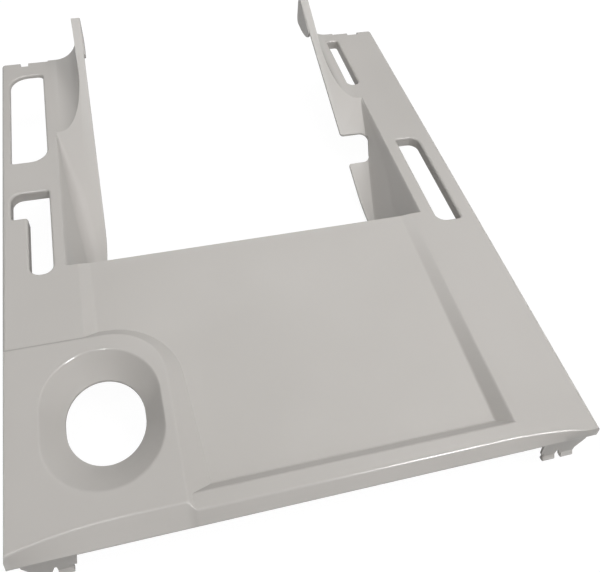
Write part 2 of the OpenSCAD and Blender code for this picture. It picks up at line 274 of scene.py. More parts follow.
# The floor, in metres
FLOOR_GREY = (0.5, 0.5, 0.5, 1)
FLOOR_ROUGHNESS = 0.9
FLOOR_GLOW = 1.12
FLOOR_GLOW_SHARE = 0.86
FLOOR_HALF_W = 6.0
FLOOR_GAP = 0.0005

# The sky that lights the surfaces, in bands from front to rear, from low to high
# and from left to right
BEHIND = (0.0, 1.0, -0.15, 0.15)
BEFORE = (1.0, 0.0, -0.15, 0.15)
LOW_SKY = (0.56, 0.0, 0.2, 0.4)
SKY_RISE = (0.0, 1.0, 0.2, 0.4)
SKY_FALL = (1.0, 0.0, 0.7, 0.85)
SKY_SLANT = (0.71, 1.05, -0.2, 0.2)

# The sky that gloss sees, as stops (height, grey level), and a patch on the right
REAR_SKY = [(0.2, 0.54), (0.35, 0.4), (0.6, 0.4), (0.7, 0.8), (0.82, 0.8),
            (0.86, 0.15), (0.93, 0.15), (0.96, 1.0)]
FRONT_SKY = [(0.25, 0.43), (0.5, 0.5), (0.93, 0.5), (0.96, 1.0)]
PATCH_SIDE = (0.0, 1.5, 0.24, 0.34)
PATCH_HEIGHT = (0.0, 1.0, 0.83, 0.86)
SKY_COLOUR = (1.0, 0.99, 0.985, 1)

# Lamps: name, place and size in metres, power, whether it shows in gloss, and
# whether it lights
LAMPS = [
    ("key", (1.6, -0.9, 2.4), (1.1, 1.1), 29.5, False, True),
    ("fill_front", (0.0, -1.4, 2.65), (1.1, 1.1), 11, False, True),
    ("fill_rear", (0.3, 1.2, 2.7), (1.1, 1.1), 22.5, False, True),
    ("fill_left", (-1.3, -0.3, 2.7), (1.1, 1.1), 11.5, False, True),
    ("gleam_right", (1.02, -1.6, 2.1), (0.55, 0.5), 48, True, False),
    ("gleam_left", (-0.75, -1.6, 2.2), (0.5, 0.8), 20, True, False),
]


def add_camera():
    data = bpy.data.cameras.new("camera")
    data.sensor_width = SENSOR_MM
    data.lens = FOCAL_PX * SENSOR_MM / IMAGE_W
    data.clip_start = CLIP_START
    cam = bpy.data.objects.new("camera", data)
    cam.location = CAMERA_AT
    cam.rotation_euler = Euler([math.radians(a) for a in CAMERA_ANGLES], "XYZ")
    bpy.context.scene.collection.objects.link(cam)
    bpy.context.scene.camera = cam


# Outlines


def arc(cx, cy, r, start, end, steps=ARC_STEPS):
    """Points on an arc from one angle to another, in degrees."""
    angles = [math.radians(start + (end - start) * k / steps) for k in range(steps + 1)]
    return [(cx + r * math.cos(a), cy + r * math.sin(a)) for a in angles]


def rounded_box(x0, x1, y0, y1, radii):
    """Outline with its own radius in each corner: front left, front right,
    rear right, rear left."""
    fl, fr, rr, rl = radii
    return (arc(x0 + fl, y0 + fl, fl, 180, 270) + arc(x1 - fr, y0 + fr, fr, 270, 360)
            + arc(x1 - rr, y1 - rr, rr, 0, 90) + arc(x0 + rl, y1 - rl, rl, 90, 180))


def oval(cx, cy, w, l, ease=0.0):
    """Oval with straight flanks and round ends. The ease makes the flanks shorter
    and the ends longer, up to a full ellipse at 1."""
    straight = (1 - ease) * (l - w) / 2
    tall = l / 2 - straight
    turns = [math.pi * k / OVAL_STEPS for k in range(OVAL_STEPS + 1)]
    far = [(cx + w / 2 * math.cos(a), cy + straight + tall * math.sin(a)) for a in turns]
    return far + [(2 * cx - x, 2 * cy - y) for x, y in far]


def roll(soft, slope):
    """Points of a curve that leaves the level and turns into a slope, soft mm
    either side of where they would meet: how far along, and how far down."""
    fall = math.atan(slope)
    points = []
    for k in range(SOFT_STEPS + 1):
        out = 2 * soft * math.tan(fall * k / SOFT_STEPS) / slope
        points.append((out, slope * out ** 2 / (4 * soft)))
    return points


# Solids


def mesh_object(name, verts, faces):
    mesh = bpy.data.meshes.new(name)
    mesh.from_pydata([Vector(v) for v in verts], [], faces)
    bm = bmesh.new()
    bm.from_mesh(mesh)
    bmesh.ops.remove_doubles(bm, verts=bm.verts, dist=WELD_NEW)
    bmesh.ops.recalc_face_normals(bm, faces=bm.faces)
    bm.to_mesh(mesh)
    bm.free()
    obj = bpy.data.objects.new(name, mesh)
    bpy.context.scene.collection.objects.link(obj)
    return obj


def loft(name, rings):
    """Closed solid through rings that all have the same number of points."""
    n = len(rings[0])
    faces = [tuple(reversed(range(n)))]
    for k in range(len(rings) - 1):
        for i in range(n):
            a, b = k * n + i, k * n + (i + 1) % n
            faces.append((a, b, b + n, a + n))
    faces.append(tuple(range((len(rings) - 1) * n, len(rings) * n)))
    return mesh_object(name, [p for ring in rings for p in ring], faces)


def prism_z(name, outline, z0, z1):
    return loft(name, [[(x, y, z) for x, y in outline] for z in (z0, z1)])


def prism_y(name, outline, y0, y1):
    return loft(name, [[(x, y, z) for x, z in outline] for y in (y0, y1)])


def prism_x(name, outline, x0, x1):
    return loft(name, [[(x, y, z) for y, z in outline] for x in (x0, x1)])


def block(name, x0, x1, y0, y1, z0, z1):
    return prism_z(name, [(x0, y0), (x1, y0), (x1, y1), (x0, y1)], z0, z1)


def apply_modifiers(obj):
    depsgraph = bpy.context.evaluated_depsgraph_get()
    mesh = bpy.data.meshes.new_from_object(obj.evaluated_get(depsgraph))
    obj.modifiers.clear()
    old = obj.data
    obj.data = mesh
    bpy.data.meshes.remove(old)


def combine(base, tools, operation):
    """Adds the tools to the base, or cuts them out of it, and removes them."""
    for tool in tools:
        step = base.modifiers.new("step", "BOOLEAN")
        step.operation = operation
        step.solver = "MANIFOLD"
        step.object = tool
        apply_modifiers(base)
        bpy.data.meshes.remove(tool.data)
    return base


def cut(base, *tools):
    return combine(base, tools, "DIFFERENCE")


def join(base, *tools):
    return combine(base, tools, "UNION")


def mirrored(obj):
    """A copy of a solid on the other side of the cover."""
    verts = [(-v.co.x, v.co.y, v.co.z) for v in obj.data.vertices]
    faces = [tuple(reversed(p.vertices)) for p in obj.data.polygons]
    return mesh_object(obj.name + "_left", verts, faces)


# The moulded form. Each of its pieces is built for a depth t under the surface:
# 0 for the outside, and the wall's thickness for the hollow below it. Edges are
# rounded on the outside alone


def side_step(slope, t):
    """Extra sideways step that keeps a sloping wall at its full thickness."""
    return t * (math.hypot(1, slope) - slope)


def slab(t):
    """The whole cover's outline as a deep block, with its top edge rounded."""
    edge_r = EDGE_R - t

    def outline(inset):
        edge = t + inset
        radii = [r - edge + OVER for r in (FRONT_CORNER_R, REAR_CORNER_R) for _ in range(2)]
        return rounded_box(-HALF_W + edge, HALF_W - edge,
                           -PANEL_L - FRONT_SPARE + edge, ARM_L - edge, radii)

    rings = [[(x, y, DEEP) for x, y in outline(0)]]
    for px, pz in arc(0, 0, edge_r, 0, 90, EDGE_STEPS):
        rings.append([(x, y, -t - edge_r + pz) for x, y in outline(edge_r - px)])
    return loft("slab", rings)


def notch(t):
    """What is cut out between the arms, with the top of its sides rounded."""
    step = t * math.hypot(1, INNER_SLOPE)
    low = DEEP - OVER
    half = [(CREASE_X + step + INNER_SLOPE * low, low)]
    if t == 0:
        edge = CREASE_X + WALL_TOP_SOFT
        curve = reversed(roll(WALL_TOP_SOFT, 1 / INNER_SLOPE))
        half += [(edge - out, -down) for out, down in curve]
        half.append((edge, HIGH))
    else:
        half.append((CREASE_X + step + INNER_SLOPE * HIGH, HIGH))
    outline = half + [(-x, z) for x, z in reversed(half)]
    return prism_y("notch", outline, -t, ARM_L + OVER)


def bend(d):
    """How far the front crease has moved forward at a distance into its bend."""
    return 0.0 if d <= 0 else CREASE_R - math.sqrt(CREASE_R ** 2 - d * d)


def raised(x):
    """How far a place across the cover lies on the raised corner, from 1 to 0,
    eased at both ends."""
    share = (FLANK_FOOT_X - x) / (FLANK_FOOT_X - FLANK_TOP_X)
    share = max(0.0, min(1.0, share))
    return share * share * (3 - 2 * share)


def crease(x):
    """How far the front face leans back at a place across, and its crease's height."""
    lean = (FACE_LEAN + (PLATEAU_LEAN - FACE_LEAN) * raised(x)
            - bend(abs(x) - HALF_W + CREASE_BEND_L))
    return max(lean, MIN_LEAN), PLATEAU_H * raised(x)


def front_cut(t):
    """Everything in front of the slanted face."""
    bends = [CREASE_BEND_L * k / CREASE_STEPS for k in range(CREASE_STEPS + 1)]
    flank = [FLANK_TOP_X + (FLANK_FOOT_X - FLANK_TOP_X) * k / FLANK_STEPS
             for k in range(FLANK_STEPS + 1)]
    places = ([-HALF_W - OVER] + [-HALF_W + d for d in bends] + flank
              + [HALF_W - CREASE_BEND_L + d for d in bends] + [HALF_W + OVER])
    back = -PANEL_L + t * math.hypot(FACE_H, FACE_LEAN) / FACE_H
    ahead = back - 3 * FRONT_SPARE
    rings = []
    for x in places:
        lean, top = crease(x)
        rise = FACE_H + top
        if t == 0:
            soft = min(CREASE_SOFT, CREASE_LEAN_SHARE * lean)
            edge = back + lean + soft
            ring = [(x, ahead, HIGH), (x, edge + RAMP_L, HIGH), (x, edge + RAMP_L, top + RAMP_H)]
            ring += [(x, edge - out, top - down) for out, down in roll(soft, rise / lean)]
        else:
            high = -FACE_H + HOLLOW_FACE_RUN * rise
            ring = [(x, ahead, high), (x, back + HOLLOW_FACE_RUN * lean, high)]
        ring += [(x, back, -FACE_H), (x, back, DEEP - OVER), (x, ahead, DEEP - OVER)]
        rings.append(ring)
    return loft("front_cut", rings)


def recess_stations():
    """Places along the recess from front to rear: y, share of the way to the
    front, and the floor's height and half width."""
    run = RECESS_L - RECESS_WALL_W
    stations = []
    for y in [run * (k / RECESS_STEPS - 1) for k in range(RECESS_STEPS + 1)] + [OVER]:
        share = max(-y, 0) / run
        floor_z = -FLOOR_REAR_Z + (FLOOR_FRONT_Z - FLOOR_REAR_Z) * y / run
        floor_w = FLOOR_W + (RECESS_W - RECESS_WALL_W - FLOOR_W) * share
        stations.append((y, share, floor_z, floor_w))
    return stations


def wall_profile(width, depth, soft):
    """Points across a sloping wall, from the border down to the floor: how far
    inside the border, and the height. Both ends are rounded."""
    curve = roll(soft, depth / width)
    return ([(out - soft, -down) for out, down in curve]
            + [(width + soft - out, down - depth) for out, down in reversed(curve)])


def soft_recess():
    """The recessed panel with its border and its foot rounded, open at the rear.
    Each ring is a half and its mirror image, and the floor and the lid join them."""
    halves = []
    for y, share, floor_z, floor_w in recess_stations():
        width = RECESS_W - floor_w
        half = [(RECESS_W + RECESS_SOFT, y - share * (RECESS_WALL_W + RECESS_SOFT), OVER)]
        for inside, z in wall_profile(width, -floor_z, RECESS_SOFT):
            ahead = RECESS_WALL_W - inside * RECESS_WALL_W / width
            half.append((RECESS_W - inside, y - share * ahead, z))
        halves.append(half)
    n = len(halves[0])
    verts, faces = [], []
    for half in halves:
        verts += half + [(-x, y, z) for x, y, z in half]
    for k in range(len(halves) - 1):
        a, b = 2 * k * n, 2 * (k + 1) * n
        for i in range(n - 1):
            faces.append((a + i, a + i + 1, b + i + 1, b + i))
            faces.append((a + n + i, b + n + i, b + n + i + 1, a + n + i + 1))
        faces.append((a + n - 1, a + 2 * n - 1, b + 2 * n - 1, b + n - 1))
        faces.append((a, b, b + n, a + n))
    faces += [(i, n + i, n + i + 1, i + 1) for i in range(n - 1)]
    last = 2 * (len(halves) - 1) * n
    faces.append(tuple(range(last, last + n)) + tuple(range(last + 2 * n - 1, last + n - 1, -1)))
    return mesh_object("recess", verts, faces)


def recess(t):
    """The recessed panel, open at the rear edge."""
    if t == 0:
        return soft_recess()
    front_slope = RECESS_WALL_W / FLOOR_FRONT_Z
    rings = []
    for y, share, floor_z, floor_w in recess_stations():
        slope = (RECESS_W - floor_w) / -floor_z
        step = side_step(slope, t)
        low_y = y - share * side_step(front_slope, t)
        high_y = low_y - share * (RECESS_WALL_W + front_slope * OVER)
        low_w = floor_w + step
        high_w = RECESS_W + step + slope * OVER
        rings.append([(-low_w, low_y, floor_z - t), (low_w, low_y, floor_z - t),
                      (high_w, high_y, OVER - t), (-high_w, high_y, OVER - t)])
    return loft("recess", rings)


def plateau(t):
    """The raised corner, with sloping flanks on its two inner sides."""
    low = -FLOOR_FRONT_Z - 2 * WALL
    step = side_step(PLATEAU_SLOPE, t)
    soft = PLATEAU_TOP_SOFT if t == 0 else NO_SOFT
    fall = math.atan(1 / PLATEAU_SLOPE)
    reach = soft * math.tan(fall / 2)
    profile = [(low, PLATEAU_SLOPE * (PLATEAU_H - low))]
    for k in range(EDGE_STEPS + 1):
        a = fall * (1 - k / EDGE_STEPS)
        profile.append((PLATEAU_H - soft * (1 - math.cos(a)), soft * math.sin(a) - reach))
    rings = []
    for z, out in profile:
        below = max(EDGE_R - (PLATEAU_H - z), 0.0)
        inset = t + EDGE_R - math.sqrt(EDGE_R ** 2 - below ** 2)
        x = -PLATEAU_X - step + out
        y = -PLATEAU_Y - step + out
        r = PLATEAU_R - step + out
        outline = rounded_box(-HALF_W + inset, x, -PANEL_L - FRONT_SPARE, y,
                              [HIDDEN_R, HIDDEN_R, r, HIDDEN_R])
        rings.append([(px, py, z - t) for px, py in outline])
    return loft("plateau", rings)


def funnel(t):
    """The funnel's hollow with a rolled rim, or its outside."""
    slope = (FUNNEL_W - MOUTH_W) / 2 / FUNNEL_H
    step = side_step(slope, t)
    soft = FUNNEL_SOFT_SHARE if t == 0 else NO_SOFT
    profile = [(-soft, OVER)]
    for k in range(SOFT_STEPS + 1):
        share = soft * (2 * k / SOFT_STEPS - 1)
        profile.append((share, -FUNNEL_H * (share + soft) ** 2 / (4 * soft)))
    profile += [(share, -FUNNEL_H * share) for share in FUNNEL_WALL_SHARES]
    if t == 0:
        profile.append((1.0, -FUNNEL_H - 3 * WALL))
    rings = []
    for share, z in profile:
        w = FUNNEL_W + 2 * step + (MOUTH_W + 2 * t - FUNNEL_W - 2 * step) * share
        l = FUNNEL_L + 2 * step + (MOUTH_L + 2 * t - FUNNEL_L - 2 * step) * share
        ease = RIM_EASE + (MOUTH_EASE - RIM_EASE) * max(share, 0.0)
        outline = oval(-FUNNEL_X + MOUTH_DX * share, -FUNNEL_Y + MOUTH_DY * share, w, l, ease)
        rings.append([(x, y, PLATEAU_H - t + z) for x, y in outline])
    return loft("funnel", rings)


def strip_x(y):
    """Distance from the middle to the strip's inner edge."""
    turned = max(STRIP_TURN_L - y, 0.0)
    return STRIP_X_FRONT - STRIP_TAPER * y + turned ** 2 / (2 * STRIP_TURN_R)


def arm_strip(t):
    """The right arm's inner strip, its landing and the sweep up to the arm. The
    hollow's own runs past the strip's inner and rear edges."""
    reach = 0.0 if t == 0 else 3 * WALL
    front = -WALL if t == 0 else 0.0
    rear = ARM_L if t == 0 else ARM_L + OVER
    right = CREASE_X + 2 * WALL
    turn = [front + (STRIP_TURN_L - front) * k / TURN_STEPS for k in range(TURN_STEPS + 1)]
    strip = prism_z("strip", [(strip_x(y) - reach, y) for y in turn]
                    + [(strip_x(rear) - reach, rear), (right, rear), (right, front)], DEEP, HIGH)
    before, beyond = -2 * WALL, ARM_L + 2 * WALL
    over_strip = prism_x("over_strip", [
        (before, -LANDING_Z - t), (LANDING_Y - t * math.tan(STRIP_CLIMB / 2), -LANDING_Z - t),
        (beyond, STRIP_END_Z + 2 * WALL * STRIP_RISE - t / math.cos(STRIP_CLIMB)),
        (beyond, 2 * HIGH), (before, 2 * HIGH)], 0, COVER_W)
    over_sweep = prism_y("over_sweep", arc(SWEEP_X, SWEEP_R, SWEEP_R + t, 180, 270, SWEEP_STEPS)
                         + [(COVER_W, -t), (COVER_W, 2 * HIGH), (SWEEP_X - SWEEP_R - t, 2 * HIGH)],
                         before, beyond)
    return cut(strip, over_strip, over_sweep)


def strip_fillet(left):
    """Fills the valley between the right arm's inner wall and its strip. The left
    arm's own, which is mirrored later, is a softer curve."""
    last = STRIP_Z / STRIP_RISE - FILLET_STOP
    places = ([-WALL / 2] + [LANDING_Y * k / LANDING_STEPS for k in range(1, LANDING_STEPS + 1)]
              + [LANDING_Y + (last - LANDING_Y) * k / CLIMB_STEPS
                 for k in range(1, CLIMB_STEPS + 1)])
    rings = []
    for y in places:
        z = max(-LANDING_Z, -STRIP_Z + y * STRIP_RISE)
        corner = Vector((CREASE_X + INNER_SLOPE * z, z))
        room = max(corner.x - strip_x(max(y, 0)) - 2 * OVER, OVER)
        if left:
            wide = min(LEFT_FILLET, -FILLET_W_SHARE * z)
            tall, ease = wide, 1.0
        else:
            share = (y - LANDING_Y) / (FILLET_REAR - LANDING_Y)
            wide = max(FILLET_W_REAR, FILLET_W + (FILLET_W_REAR - FILLET_W) * share)
            wide = min(wide, FILLET_W, -FILLET_W_SHARE * z)
            tall, ease = min(FILLET_H, -FILLET_H_SHARE * z), FILLET_EASE
        foot = corner - Vector((min(wide, room), 0))
        head = corner + Vector((INNER_SLOPE, 1)).normalized() * tall
        pull = foot.lerp(corner, ease)
        ring = []
        for k in range(FILLET_STEPS + 1):
            u = k / FILLET_STEPS
            ring.append(foot * (1 - u) ** 2 + pull * 2 * u * (1 - u) + head * u ** 2)
        ring += [head + Vector((OVER, 0)), corner + Vector((OVER, -OVER)),
                 foot + Vector((0, -OVER))]
        rings.append([(p.x, y, p.y) for p in ring])
    return loft("strip_fillet", rings)


def form(t):
    base = cut(slab(t), notch(t), recess(t))
    base = join(base, plateau(t))
    base = cut(base, front_cut(t), funnel(t))
    strip = arm_strip(t)
    other = mirrored(strip)
    base = join(base, strip, other)
    if t == 0:
        left_fillet = strip_fillet(True)
        base = join(base, strip_fillet(False), mirrored(left_fillet))
        bpy.data.meshes.remove(left_fillet.data)
    return base


# Rounded edges of the outer form


def round_edges(obj, offset, wanted, segments):
    """Rounds the edges that wanted(middle, turn, edge) picks. turn is the angle
    in degrees between the edge's faces, positive where it stands out."""
    bm = bmesh.new()
    bm.from_mesh(obj.data)
    picked = []
    for edge in bm.edges:
        if len(edge.link_faces) != 2:
            continue
        turn = math.degrees(edge.calc_face_angle_signed(0.0))
        middle = (edge.verts[0].co + edge.verts[1].co) / 2
        if abs(turn) > SLIGHT_TURN and wanted(middle, turn, edge):
            picked.append(edge)
    bmesh.ops.bevel(bm, geom=picked, offset=offset, offset_type="OFFSET", segments=segments,
                    profile=0.5, affect="EDGES", clamp_overlap=True, loop_slide=True)
    bmesh.ops.remove_doubles(bm, verts=bm.verts, dist=WELD_ROUNDED)
    bm.to_mesh(obj.data)
    bm.free()


def near(value, goal, room=EDGE_ROOM):
    return abs(value - goal) < room


def along(edge, axis):
    """How far an edge runs along an axis, from 0 to 1."""
    return abs((edge.verts[0].co - edge.verts[1].co).normalized()[axis])


def round_form(obj):
    """Rounds the moulded edges of the outer form that its cutters leave sharp: the
    sweeps' crests, the raised corner's foot, and the edges of panel and strips."""
    def crest(m, turn, e):
        return (turn > CREST_TURN and m.y > CREST_FRONT_Y and m.z > CREST_LOW_Z
                and STRIP_X_REAR + CREST_IN < abs(m.x) < CREASE_X - OVER)

    def plateau_foot(m, turn, e):
        return (turn < -SLIGHT_TURN and near(m.z, 0) and m.x < -PLATEAU_X + FLANK_ROOM
                and -PANEL_L + 2 * PLATEAU_LEAN < m.y < -PLATEAU_Y + FLANK_ROOM)

    def panel_edge(m, turn, e):
        return (turn > FULL_TURN and near(m.y, 0) and m.z > PANEL_EDGE_LOW_Z
                and along(e, 0) > 0.5 and abs(m.x) < CREASE_X + OVER)

    def strip_edge(m, turn, e):
        return (turn > FULL_TURN and m.y > -OVER and m.z > -LANDING_Z - OVER
                and near(abs(m.x), strip_x(max(m.y, 0)), STRIP_ROOM) and along(e, 2) < 0.9)

    round_edges(obj, CREST_SOFT, crest, segments=4)
    round_edges(obj, PLATEAU_FOOT_SOFT, plateau_foot, segments=5)
    round_edges(obj, PANEL_EDGE_SOFT, panel_edge, segments=3)
    round_edges(obj, STRIP_EDGE_SOFT, strip_edge, segments=3)


# What the form is cut by, and what is added to it


def below_rim():
    """What hangs below the rim, the lip and the landings, clear of the funnel."""
    low = DEEP - 2 * OVER
    front = -PANEL_L - 1.5 * FRONT_SPARE
    rear = ARM_L + OVER
    left = block("low_left", -HALF_W - OVER, -CREASE_X, front, rear, low, -RIM_H)
    kept = prism_z("kept", oval(-FUNNEL_X, -FUNNEL_Y, FUNNEL_W + 4 * WALL, FUNNEL_L + 4 * WALL),
                   low - OVER, OVER)
    return [block("low_right", CREASE_X, HALF_W + OVER, front, rear, low, -RIM_H),
            cut(left, kept),
            block("low_rear", -STRIP_X_FRONT, STRIP_X_FRONT, -2 * WALL, OVER, low, -RIM_H),
            block("low_front", -HALF_W - OVER, HALF_W + OVER, front,
                  -PANEL_L + 2 * PLATEAU_LEAN, low, -RIM_H),
            block("low_legs", -HALF_W, HALF_W, -2 * WALL, ARM_L, low, -LANDING_Z - WALL)]


def slot_outlines(grow):
    """The outlines of the four slots, grown by some millimetres."""
    def box(slot, side, radii):
        x0, x1 = sorted((side * slot[0], side * slot[1]))
        return rounded_box(x0 - grow, x1 + grow, slot[2] - grow, slot[3] + grow,
                           [r + grow for r in radii])

    c_end = (SLOT_C[1] - SLOT_C[0]) / 2 - OVER / 2

    # The second slot on the left: a head, and a leg forward along its inner side
    left, right = -SLOT_B[1] - grow, -SLOT_B[0] + grow
    leg_left = right - SLOT_B_LEG_W - 2 * grow
    leg_front = -SLOT_B_LEG_Y - grow
    leg_r = SLOT_B_LEG_W / 2 - OVER + grow
    head_r = SLOT_B_LEG_W / 2 + grow
    head_front = SLOT_B[2] - grow
    slot_r = SLOT_R + grow
    inner_r = max(SLOT_R - grow, HIDDEN_R)
    b = (arc(leg_left + leg_r, leg_front + leg_r, leg_r, 180, 270)
         + arc(right - leg_r, leg_front + leg_r, leg_r, 270, 360)
         + arc(right - slot_r, SLOT_B[3] - SLOT_R, slot_r, 0, 90)
         + arc(left + head_r, SLOT_B[3] + grow - head_r, head_r, 90, 180)
         + arc(left + slot_r, head_front + slot_r, slot_r, 180, 270)
         + arc(leg_left - inner_r, head_front - inner_r, inner_r, 90, 0))
    return {"a": box(SLOT_A, -1, [SLOT_R, SLOT_A_R - SLOT_R, 2 * SLOT_R, SLOT_A_R]),
            "b": b,
            "c": box(SLOT_C, 1, [c_end, c_end, SLOT_R, SLOT_R]),
            "d": box(SLOT_D, 1, [SLOT_D_R, SLOT_R, SLOT_D_R, SLOT_R])}


def collars():
    return [prism_z("collar_" + k, outline, -(LOW_COLLAR_H if k == "a" else COLLAR_H), -WALL / 2)
            for k, outline in slot_outlines(WALL).items()]


def slot_cuts():
    """The slots' cutters, which roll the edge over at the top."""
    levels = [(0, -2 * COLLAR_H)]
    for s in range(EDGE_STEPS + 1):
        a = math.radians(90 * s / EDGE_STEPS)
        levels.append((SLOT_EDGE_R * (1 - math.cos(a)), SLOT_EDGE_R * (math.sin(a) - 1)))
    levels.append((SLOT_EDGE_R + SLOT_FLARE, HIGH))
    outlines = [(slot_outlines(grow), z) for grow, z in levels]
    return [loft("slot_" + k, [[(x, y, z) for x, y in outline[k]] for outline, z in outlines])
            for k in outlines[0][0]]


def strip_cutout():
    """The cut-out in the right strip, with its two outer corners rounded."""
    front, rear = CUTOUT_Y, CUTOUT_Y + CUTOUT_L
    right = strip_x(front) + CUTOUT_W
    far = strip_x(rear) - 2 * CUTOUT_R
    outline = ([(far, front - MOUTH_R_FRONT)]
               + arc(strip_x(front) + MOUTH_R_FRONT, front - MOUTH_R_FRONT, MOUTH_R_FRONT, 175, 90)
               + arc(right - CUTOUT_IN_FRONT - CUTOUT_R, front + CUTOUT_R, CUTOUT_R, 270, 360)
               + arc(right + CUTOUT_OUT_REAR - CUTOUT_R, rear - CUTOUT_R, CUTOUT_R, 0, 90)
               + arc(strip_x(rear) + MOUTH_R_REAR, rear + MOUTH_R_REAR, MOUTH_R_REAR, 270, 185)
               + [(far, rear + MOUTH_R_REAR)])
    return prism_z("cutout", outline, DEEP, -2 * RIM_H + CUTOUT_R)


def end_notches():
    return [block("end_notch", x0, x1, ARM_L - depth, ARM_L + OVER, -2 * RIM_H, RIM_H)
            for x0, x1, depth in END_NOTCHES]


def hook_tab():
    """Plate with two barbed feet under the right front corner, and its ribs."""
    first = TAB_X + (TAB_W - 2 * FOOT_W - FOOT_GAP) / 2
    second = first + FOOT_W + FOOT_GAP
    gap_x = first + FOOT_W
    front = -PANEL_L + TAB_BACK
    top = -FACE_H + WALL
    right = TAB_X + TAB_W
    low = -TAB_Z - WALL
    outline = [(TAB_X, top), (TAB_X, -TAB_Z + FOOT_W), (TAB_X + WALL, low),
               (first, low), (first, -FOOT_Z), (gap_x, -FOOT_Z),
               (gap_x, -TAB_Z), (gap_x + FOOT_GAP_TOP, -TAB_Z),
               (second, -FOOT_Z), (second + FOOT_W, -FOOT_Z), (second + FOOT_W, low),
               (right - FOOT_W / 2, low), (right, -TAB_Z + FOOT_W), (right, top)]
    tab = prism_y("tab", outline, front, front + WALL)
    for x in (first, second):
        barb = prism_x("barb", [
            (front + OVER, -FOOT_Z), (front, -FOOT_Z), (front - BARB_OUT, -FOOT_Z + WALL / 2),
            (front - BARB_OUT, -FOOT_Z + WALL), (front, -FOOT_Z + BARB_H),
            (front + OVER, -FOOT_Z + BARB_H)], x, x + FOOT_W)
        middle = x + FOOT_W / 2
        rib = prism_x("rib", [
            (front + OVER, -TAB_Z), (front + WALL + RIB_L, -WALL / 2),
            (front + 3 * WALL, -WALL / 2), (front + OVER, top)],
            middle - RIB_T / 2, middle + RIB_T / 2)
        tab = join(tab, barb, rib)
    return tab


def ear():
    """Ear that hangs from the right strip at the arm's end."""
    top_rear = STRIP_END_Z - WALL / 2
    front_z = -STRIP_Z + EAR_FRONT * STRIP_RISE - WALL / 2
    low = STRIP_END_Z - EAR_H - WALL
    belly = []
    for k in range(BELLY_STEPS + 1):
        a = math.radians(90 * k / BELLY_STEPS)
        belly.append((EAR_FRONT + EAR_H * (1 - math.cos(a)) * EAR_BELLY,
                      front_z - WALL + (low - front_z + WALL) * math.sin(a)))
    outline = ([(EAR_FRONT, front_z)] + belly
               + arc(EAR_REAR - EAR_OUT, low + EAR_OUT, EAR_OUT, 270, 360, EDGE_STEPS)
               + [(EAR_REAR, top_rear - EAR_OUT / 2), (ARM_L, top_rear)])
    plate = prism_x("ear", outline, STRIP_X_REAR, STRIP_X_REAR + EAR_T)
    step = plate.modifiers.new("soften", "BEVEL")
    step.width = EAR_SOFT
    step.segments = 2
    step.limit_method = "ANGLE"
    step.angle_limit = math.radians(FULL_TURN)
    step.use_clamp_overlap = True
    step.miter_outer = "MITER_ARC"
    apply_modifiers(plate)
    return plate


# The whole cover


def merge_flat(obj):
    """Merges flat neighbouring faces and very short edges."""
    bm = bmesh.new()
    bm.from_mesh(obj.data)
    bmesh.ops.remove_doubles(bm, verts=bm.verts, dist=WELD_FLAT)
    bmesh.ops.dissolve_limit(bm, angle_limit=math.radians(FLAT_TURN), verts=bm.verts,
                             edges=bm.edges, use_dissolve_boundaries=False)
    bm.to_mesh(obj.data)
    bm.free()


def build_cover():
    outside = form(0.0)
    merge_flat(outside)
    round_form(outside)
    cover = cut(outside, form(WALL), *below_rim())
    tab = hook_tab()
    side_ear = ear()
    left_tab = mirrored(tab)
    left_tab.data.transform(Matrix.Translation((LEFT_TAB_IN, 0, 0)))
    cover = join(cover, *collars(), left_tab, mirrored(side_ear), tab, side_ear)
    cover = cut(cover, *slot_cuts(), *end_notches(), strip_cutout())
    merge_flat(cover)
    cover.name = "cover_shell"
    cover.data.transform(Matrix.Translation((0, PLAN_Y, PLAN_Z)) @ Matrix.Scale(MM, 4))
    for polygon in cover.data.polygons:
        polygon.use_smooth = True
    cover.data.set_sharp_from_angle(angle=math.radians(SHARP_TURN))
    weigh = cover.modifiers.new("weigh", "WEIGHTED_NORMAL")
    weigh.keep_sharp = True
    weigh.weight = NORMAL_WEIGHT
    apply_modifiers(cover)
    return cover


# Node trees


def node(tree, kind, at, **values):
    made = tree.nodes.new(kind)
    made.location = at
    for key, value in values.items():
        setattr(made, key, value)
    return made


def mapped(tree, source, band, at):
    """A level that follows the band, with soft ends."""
    made = node(tree, "ShaderNodeMapRange", at, interpolation_type="SMOOTHSTEP")
    for name, value in zip(("To Min", "To Max", "From Min", "From Max"), band):
        made.inputs[name].default_value = value
    tree.links.new(source, made.inputs["Value"])
    return made.outputs["Result"]


def maths(tree, operation, a, b, at):
    made = node(tree, "ShaderNodeMath", at, operation=operation)
    tree.links.new(a, made.inputs[0])
    tree.links.new(b, made.inputs[1])
    return made.outputs["Value"]


def grey_ramp(tree, source, stops, at):
    """A grey level that follows the stops (place, level)."""
    made = node(tree, "ShaderNodeValToRGB", at)
    made.color_ramp.interpolation = "EASE"
    elements = made.color_ramp.elements
    for element, (place, level) in zip(elements, (stops[0], stops[-1])):
        element.position = place
        element.color = (level, level, level, 1)
    for place, level in stops[1:-1]:
        elements.new(place).color = (level, level, level, 1)
    tree.links.new(source, made.inputs["Fac"])
    return made.outputs["Color"]


# Materials


